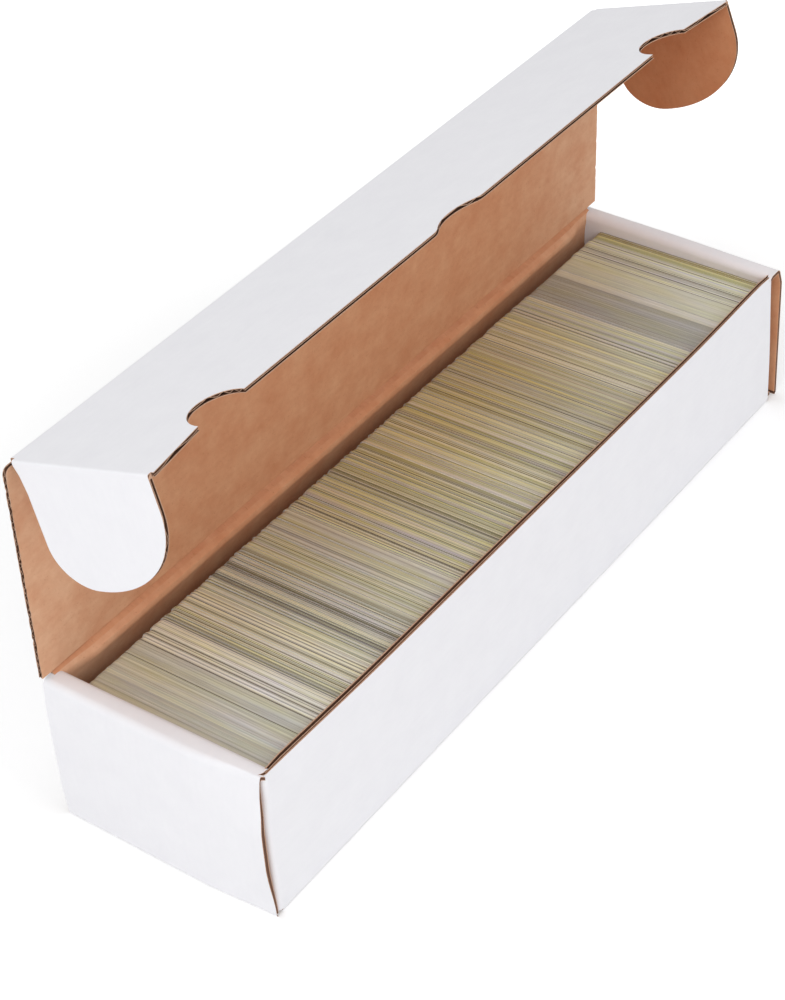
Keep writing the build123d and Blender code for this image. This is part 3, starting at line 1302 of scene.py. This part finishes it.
@dataclass
class Lid:
    """The lid's top, its front flap with its notches, the two ears, and the folds between them.

    Flare is how many degrees the left and the right ear stand outwards. An ear starts at its root on the
    flap's end, with a narrow neck.
    """

    finishes: Finishes
    flare: Pair = (3.2, 3.4)
    ear_root: float = 1.7
    ear_neck: tuple[Pair, Pair] = ((12.0, 4.0), (5.0, 3.1))

    def top(self) -> Piece:
        """Builds the lid's top panel, which has rounded front corners.

        Returns:
            The object.
        """
        near, far, r = STOCK.crush_gap, LID_WIDTH - STOCK.crush_gap, BOX.lid_corner
        outline = Outline((-LID_HALF, near), (LID_HALF, near), (LID_HALF, far - r))
        outline.arc((LID_HALF - r, far - r), 90, 6).to((-LID_HALF + r, far))
        outline.arc((-LID_HALF + r, far - r), 90, 6)
        board = FlatBoard(outline.close(), (0.0, 300.0), (20, 70))
        layers = board.layers(placement(HINGE, AXIS_X, LID_AWAY, LID_INWARD))
        return stand_for("lid_top", "lid", layers, self.finishes.board, RaggedEnds())

    def flap(self) -> Piece:
        """Builds the front flap, with its two half-moon notches and the thumb notch.

        Returns:
            The object.
        """
        low, reach, end_reach = STOCK.crush_gap, BOX.flap_reach, BOX.flap_end_reach
        notch, r = FLAP_HALF - BOX.end_notch_from_end, BOX.end_notch_radius
        half, depth, middle = BOX.thumb_width / 2, BOX.thumb_depth, BOX.thumb_offset
        thumb_radius = (half * half + depth * depth) / (2 * depth)
        spread = 2 * math.degrees(math.asin(half / thumb_radius))
        outline = Outline((-FLAP_HALF, low), (FLAP_HALF, low), (FLAP_HALF, end_reach), (notch + r, reach))
        outline.arc((notch, reach), -180, 24).to((middle + half, reach))
        outline.arc((middle, reach - depth + thumb_radius), -spread, 12).to((-notch + r, reach))
        mesh = outline.arc((-notch, reach), -180, 24).to((-FLAP_HALF, end_reach)).close()
        shoulders = [v for v in mesh.verts
                     if abs(abs(v.co.x - middle) - half) + abs(v.co.y - reach) < TOUCHING]
        bmesh.ops.bevel(mesh, geom=shoulders, offset=BOX.thumb_shoulder, affect="VERTICES", segments=4,
                        profile=0.5, material=-1)
        board = FlatBoard(mesh, (0.0, 400.0), (20, 10), -2 * math.pi * reach / STOCK.pitch)
        layers = board.layers(placement(FLAP_POINT, AXIS_X, FLAP_AWAY, FLAP_INWARD))
        return stand_for("lid_front_flap", "front_flap", layers, self.finishes.board)

    def ear_axes(self, sign: int) -> tuple[Vector, Vector]:
        """Directions of an ear, which flares outwards a little.

        Args:
            sign: -1 or 1 for that end of the box.

        Returns:
            The direction of its depth, and the one towards the box's inside.
        """
        flare = math.radians(self.flare[sign > 0])
        outward = AXIS_X * sign
        return (FLAP_INWARD * math.cos(flare) + outward * math.sin(flare),
                FLAP_INWARD * math.sin(flare) - outward * math.cos(flare))

    def ear(self, side: str, sign: int) -> Piece:
        """Builds one ear, whose outline is two quarter ellipses and a narrow neck.

        Args:
            side: left or right.
            sign: -1 or 1 for that end of the box.

        Returns:
            The object.
        """
        across, deep = BOX.ear_deepest - BOX.ear_start, BOX.ear_depth - BOX.ear_start_side
        across_end, deep_end = BOX.ear_end - BOX.ear_deepest, BOX.ear_depth - BOX.ear_end_side
        gap, end = STOCK.crush_gap, BOX.ear_end
        outline = Outline((gap, self.ear_root), (gap, end), (BOX.ear_end_side, end))
        outline.arc((BOX.ear_end_side, BOX.ear_deepest), -90, 24, (deep_end / across_end, 1.0))
        outline.arc((BOX.ear_start_side, BOX.ear_deepest), -90, 16, (1.0, across / deep)).to(*self.ear_neck)
        down, inward = self.ear_axes(sign)
        place = placement(FLAP_POINT + AXIS_X * (sign * EAR_PLANE), down, FLAP_AWAY, inward)
        layers = FlatBoard(outline.close(), (200.0, 400.0), (8, 10)).layers(place)
        # the ears' kraft is the darker copy, painted shade
        return stand_for(f"{side}_ear", f"{side}_ear", layers, self.finishes.ear)

    def folds(self) -> list[Piece]:
        """Builds the lid's crease, the flap's crease and the two ears' creases.

        Returns:
            The objects.
        """
        made = [
            Fold("lid_score", "lid_crease", ("tray", "lid"), HINGE, AXIS_X, AXIS_Z, LID_AWAY, AXIS_Y,
                 (-SLOT_INSIDE, SLOT_INSIDE), 0.0, HingeWear()),
            Fold("flap_score", "flap_crease", ("lid", "front_flap"), FLAP_POINT, AXIS_X, LID_AWAY, FLAP_AWAY,
                 -LID_INWARD, (-FLAP_HALF, FLAP_HALF), BOX.flap_fold),
        ]
        for side, sign in (("left", -1), ("right", 1)):
            made.append(Fold(f"{side}_ear_score", f"{side}_ear_crease", ("front_flap", f"{side}_ear"),
                             FLAP_POINT + AXIS_X * (sign * EAR_PLANE), FLAP_AWAY, AXIS_X * sign,
                             self.ear_axes(sign)[0], -FLAP_INWARD, (self.ear_root, BOX.ear_end),
                             90 - self.flare[sign > 0]))
        return [fold.build(self.finishes) for fold in made]

    def build(self) -> list[Piece]:
        """Builds the lid with all that hangs on it, and gives its pieces."""
        return [self.top(), self.flap(), self.ear("left", -1), self.ear("right", 1), *self.folds()]


# ---------------------------------------- the cards


class CardStock(Enum):
    """Card stocks by the linear colour of their cut edges, and the painted shadow of the last cards by the
    far end wall.
    """

    PEARL = (0.545, 0.560, 0.510)
    CHALK = (0.655, 0.670, 0.585)
    IVORY = (0.650, 0.655, 0.525)
    BUFF = (0.540, 0.550, 0.465)
    STRAW = (0.560, 0.550, 0.405)
    KHAKI = (0.495, 0.480, 0.345)
    SLATE = (0.395, 0.410, 0.385)
    CORN = (0.600, 0.590, 0.370)
    # painted shadow: the dark olive of the last cards by the far end wall
    PAINTED_SHADOW = (0.330, 0.300, 0.160)


@dataclass(frozen=True)
class CardRun:
    """A run of cards along the box.

    It ends at a share of the row, and is mostly of one stock. Fine and coarse are the spreads of lightness
    from card to card and from pack to pack, and hue is the spread from grey to yellow. Pack is the range of a
    pack's number of cards.
    """

    until: float
    stock: CardStock
    fine: float
    coarse: float
    hue: float
    pack: tuple[int, int] = (1, 4)


CARD_RUNS = (
    CardRun(0.09, CardStock.PEARL, 0.09, 0.06, 0.05, (2, 6)),
    CardRun(0.13, CardStock.CHALK, 0.36, 0.14, 0.10),
    CardRun(0.19, CardStock.IVORY, 0.44, 0.18, 0.12, (1, 3)),
    CardRun(0.26, CardStock.BUFF, 0.54, 0.18, 0.12, (1, 3)),
    CardRun(0.35, CardStock.BUFF, 0.29, 0.09, 0.11),
    CardRun(0.48, CardStock.STRAW, 0.33, 0.12, 0.15, (1, 3)),
    CardRun(0.60, CardStock.STRAW, 0.24, 0.12, 0.15, (1, 3)),
    CardRun(0.72, CardStock.KHAKI, 0.22, 0.11, 0.16),
    CardRun(0.78, CardStock.STRAW, 0.27, 0.12, 0.14),
    CardRun(0.83, CardStock.BUFF, 0.25, 0.10, 0.12),
    CardRun(0.885, CardStock.SLATE, 0.08, 0.03, 0.04, (8, 14)),
    CardRun(0.935, CardStock.CHALK, 0.06, 0.03, 0.04, (8, 14)),
    CardRun(0.98, CardStock.CHALK, 0.22, 0.12, 0.12),
    CardRun(0.99, CardStock.CORN, 0.10, 0.06, 0.10, (3, 6)),
    # the last cards take the painted shadow by the far end wall
    CardRun(1.0, CardStock.PAINTED_SHADOW, 0.14, 0.10, 0.10, (3, 6)),
)
# Painted shade: near-black cards stand for the thin shadow lines between cards.
GAP_SHADE_TINT = Vector((0.15, 0.13, 0.095))
PALE_TINT = Vector((0.78, 0.77, 0.68))


@dataclass
class CardRow:
    """About a thousand loose cards on their long edges, in bundles that lift out.

    Cards of a pack share a tint and stand alike. The shares of near-black cards, painted shade for the
    shadow lines between cards, and of pale cards grow with a run's fine spread.
    """

    finishes: Finishes
    thickness: float = 0.36
    filled: float = 0.985
    corner: float = 2.5
    lightness: Pair = (0.4, 1.28)
    red_spread: float = 0.014
    yellow_most: float = 0.24
    gap_shade_share: float = 0.16
    pale_share: float = 0.26
    pack_shift: float = 0.9
    card_shift: float = 0.2
    pack_drop: float = 0.8
    card_drop: float = 0.12
    seed: int = 11

    def bundle(self, index: int) -> Piece:
        """Builds one bundle of cards.

        Args:
            index: from 0 at the left end.

        Returns:
            The object, which rides on its own body.
        """
        dice = random.Random(self.seed + index)
        length = (2 * END_INSIDE - (BOX.bundles + 1) * BOX.bundle_gap) / BOX.bundles
        start = -END_INSIDE + BOX.bundle_gap + index * (length + BOX.bundle_gap)
        count = round(length / self.thickness)
        step = length / count
        whole = bmesh.new()
        colour = whole.loops.layers.float_color.new("card_tint")
        left, light, yellow, red, drop, shift = 0, 1.0, 0.0, 0.0, 0.0, 0.0
        for k in range(count):
            x = start + k * step
            run = next(r for r in CARD_RUNS if (x + END_INSIDE) / (2 * END_INSIDE) < r.until)
            if left <= 0:
                left = dice.randint(*run.pack)
                light, red = 1 + dice.gauss(0, run.coarse), dice.gauss(0, self.red_spread)
                yellow = min(self.yellow_most, dice.gauss(0, run.hue))
                drop = min(1.0, abs(dice.gauss(0, self.pack_drop * run.fine)))
                shift = dice.uniform(0.0, self.pack_shift) * min(1.0, 5 * run.fine)
            left -= 1
            roll = dice.random()
            least, most = self.lightness
            tint = Vector(run.stock.value) * min(most, max(least, light + dice.gauss(0, run.fine)))
            tint *= Vector((1 + red, 1 + 0.05 * yellow, 1 - 0.8 * yellow))
            # some cards take the painted gap shade, others the pale tint
            if roll < self.pale_share * run.fine:
                tint = GAP_SHADE_TINT if roll < self.gap_shade_share * run.fine else PALE_TINT
            own_drop = drop + dice.uniform(0, self.card_drop)
            own_shift = shift + dice.uniform(0.0, self.card_shift)
            self.card(whole, colour, x, step * self.filled, tint, own_drop, own_shift)
        bmesh.ops.recalc_face_normals(whole, faces=whole.faces)
        name = f"cards_{index + 1:02d}"
        piece = finish_piece(f"{name}_row", [whole], self.finishes.cards)
        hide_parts(f"card_bundle_{index + 1:02d}")
        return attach(piece, name)

    def card(self, whole: BMesh, colour: object, x: float, thickness: float, tint: Vector, drop: float,
             shift: float) -> None:
        """Adds one card with its rounded corners.

        Args:
            whole: the bundle's mesh.
            colour: its layer of tints.
            x: place of the card's left face.
            thickness: its thickness.
            tint: its edge's colour.
            drop: how much it stands below the tallest.
            shift: how far it is pushed towards the back.
        """
        before = len(whole.verts)
        bmesh.ops.create_grid(whole, x_segments=1, y_segments=1, size=0.5)
        whole.verts.ensure_lookup_table()
        corners = whole.verts[before:]
        foot = Vector((x, -WALL_INSIDE + BOX.card_front_gap + shift, STOCK.thickness + BOX.card_seat))
        size = Matrix.Diagonal((BOX.card_width, BOX.card_height - drop, 1, 1))
        place = placement(foot, AXIS_Y, AXIS_Z, AXIS_X) @ size @ Matrix.Translation((0.5, 0.5, 0))
        bmesh.ops.transform(whole, matrix=place, verts=corners)
        bmesh.ops.bevel(whole, geom=corners, offset=self.corner, affect="VERTICES", segments=3, profile=0.5,
                        material=-1)
        whole.faces.ensure_lookup_table()
        face = whole.faces[-1]
        raised = points_of(bmesh.ops.extrude_face_region(whole, geom=[face], use_keep_orig=True)["geom"])
        bmesh.ops.translate(whole, verts=raised, vec=(thickness, 0, 0))
        for each in {f for v in raised for f in v.link_faces} | {face}:
            each.material_index = 1 if len(each.verts) > 4 else 0
            for loop in each.loops:
                loop[colour] = (*tint, 1)


# ---------------------------------------- studio


@dataclass(frozen=True)
class Lamp:
    """A soft square lamp that faces the box, with its place and side in metres and its power in watts."""

    name: str
    place: Triple
    size: float
    power: float

    def build(self) -> Piece:
        """Hangs the lamp.

        Returns:
            The lamp.
        """
        data = bpy.data.lights.new(self.name, "AREA")
        data.shape, data.size, data.energy = "SQUARE", self.size, self.power
        lamp = new_object(self.name, data)
        lamp.location = self.place
        lamp.rotation_mode = "QUATERNION"
        lamp.rotation_quaternion = (Vector((0, 0, 0.05)) - Vector(self.place)).to_track_quat("-Z", "Y")
        return lamp


@dataclass(frozen=True)
class Studio:
    """Floor, lamps, world and camera, with angles in degrees and the focal length and centre in pixels."""

    camera_place: Triple = (-0.61762, -0.457685, 0.668648)
    azimuth: float = -52.4
    elevation: float = 39.424
    roll: float = -3.758
    focal: float = 2353.01
    centre: Pair = (417.63, 520.82)
    sensor: float = 36.0
    floor_size: float = 6.0
    floor_fade: tuple[float, float, float, float] = (0.15, 0.8, 0.12, 1.0)
    world_light: float = 0.62
    lamps: tuple[Lamp, ...] = (
        Lamp("left_lamp", (-1.6, -0.5, 1.3), 1.6, 18.0),
        Lamp("front_lamp", (0.2, -1.9, 1.0), 1.6, 9.2),
        Lamp("top_lamp", (0.0, 0.2, 2.0), 1.2, 4.5),
    )

    def camera(self) -> Piece:
        """Sets the camera up.

        Returns:
            The camera.
        """
        az, el, roll = (math.radians(v) for v in (self.azimuth, self.elevation, self.roll))
        back = Vector((math.sin(az) * math.cos(el), -math.cos(az) * math.cos(el), math.sin(el)))
        right = (-back).cross(AXIS_Z).normalized()
        up = right.cross(-back)
        right, up = right * math.cos(roll) + up * math.sin(roll), up * math.cos(roll) - right * math.sin(roll)
        data = bpy.data.cameras.new("camera")
        longest = max(IMAGE_WIDTH, IMAGE_HEIGHT)
        data.sensor_width, data.lens = self.sensor, self.focal * self.sensor / longest
        data.shift_x = -(self.centre[0] - IMAGE_WIDTH / 2) / longest
        data.shift_y = (self.centre[1] - IMAGE_HEIGHT / 2) / longest
        data.clip_start, data.clip_end = 0.01, 50.0
        camera = new_object("camera", data)
        camera.matrix_world = placement(Vector(self.camera_place), right, up, back)
        bpy.context.scene.camera = camera
        return camera

    def floor(self) -> Piece:
        """Lays a plain pale floor, which keeps the soft shadow and fades to white around it.

        Returns:
            The floor.
        """
        mesh = bmesh.new()
        bmesh.ops.create_grid(mesh, x_segments=8, y_segments=8, size=self.floor_size)
        data = bpy.data.meshes.new("studio_floor")
        mesh.to_mesh(data)
        mesh.free()
        material = bpy.data.materials.new("studio_floor")
        material.use_nodes = True
        material.node_tree.nodes.clear()
        hand = Nodes(material.node_tree)
        away = hand.add("VectorMath", hand.object_place(), operation="LENGTH").outputs["Value"]
        fade = hand.out("MapRange", away, *self.floor_fade, interpolation_type="SMOOTHSTEP")
        lift = hand.math("MULTIPLY", hand.add("LightPath").outputs["Is Camera Ray"], fade)
        shader = hand.out("BsdfPrincipled", Base_Color=(0.9, 0.9, 0.9), Roughness=0.9, Specular_IOR_Level=0.1,
                          Emission_Color=PLAIN, Emission_Strength=lift)
        hand.add("OutputMaterial", Surface=shader)
        data.materials.append(material)
        floor = new_object("studio_floor", data)
        return floor

    def world(self) -> bpy.types.World:
        """Makes an even white surround: full white to the camera and to reflections, softer as light.

        Returns:
            The world.
        """
        world = bpy.data.worlds.new("studio")
        world.use_nodes = True
        world.node_tree.nodes.clear()
        hand = Nodes(world.node_tree)
        path = hand.add("LightPath").outputs
        seen = hand.math("MAXIMUM", path["Is Camera Ray"], path["Is Glossy Ray"])
        seen = hand.math("MAXIMUM", seen, path["Is Transmission Ray"])
        light, full = (hand.out("Background", PLAIN, strength) for strength in (self.world_light, 1.0))
        hand.add("OutputWorld", Surface=hand.out("MixShader", seen, light, full))
        bpy.context.scene.world = world
        return world

    def build(self) -> None:
        """Sets everything up."""
        bpy.context.scene.view_settings.view_transform = "Standard"
        self.world()
        self.floor()
        for lamp in self.lamps:
            lamp.build()
        self.camera()


def main() -> None:
    """Builds the box, the cards and the studio, in order."""
    logging.basicConfig(level=logging.INFO, format="%(message)s")
    finishes = Finishes()
    made = Tray(finishes).build() + Lid(finishes).build()
    cards = CardRow(finishes)
    made += [cards.bundle(index) for index in range(BOX.bundles)]
    for piece in made:
        log.info("%s: %d faces", piece.name, len(piece.data.polygons))
    Studio().build()


if __name__ == "__main__":
    main()
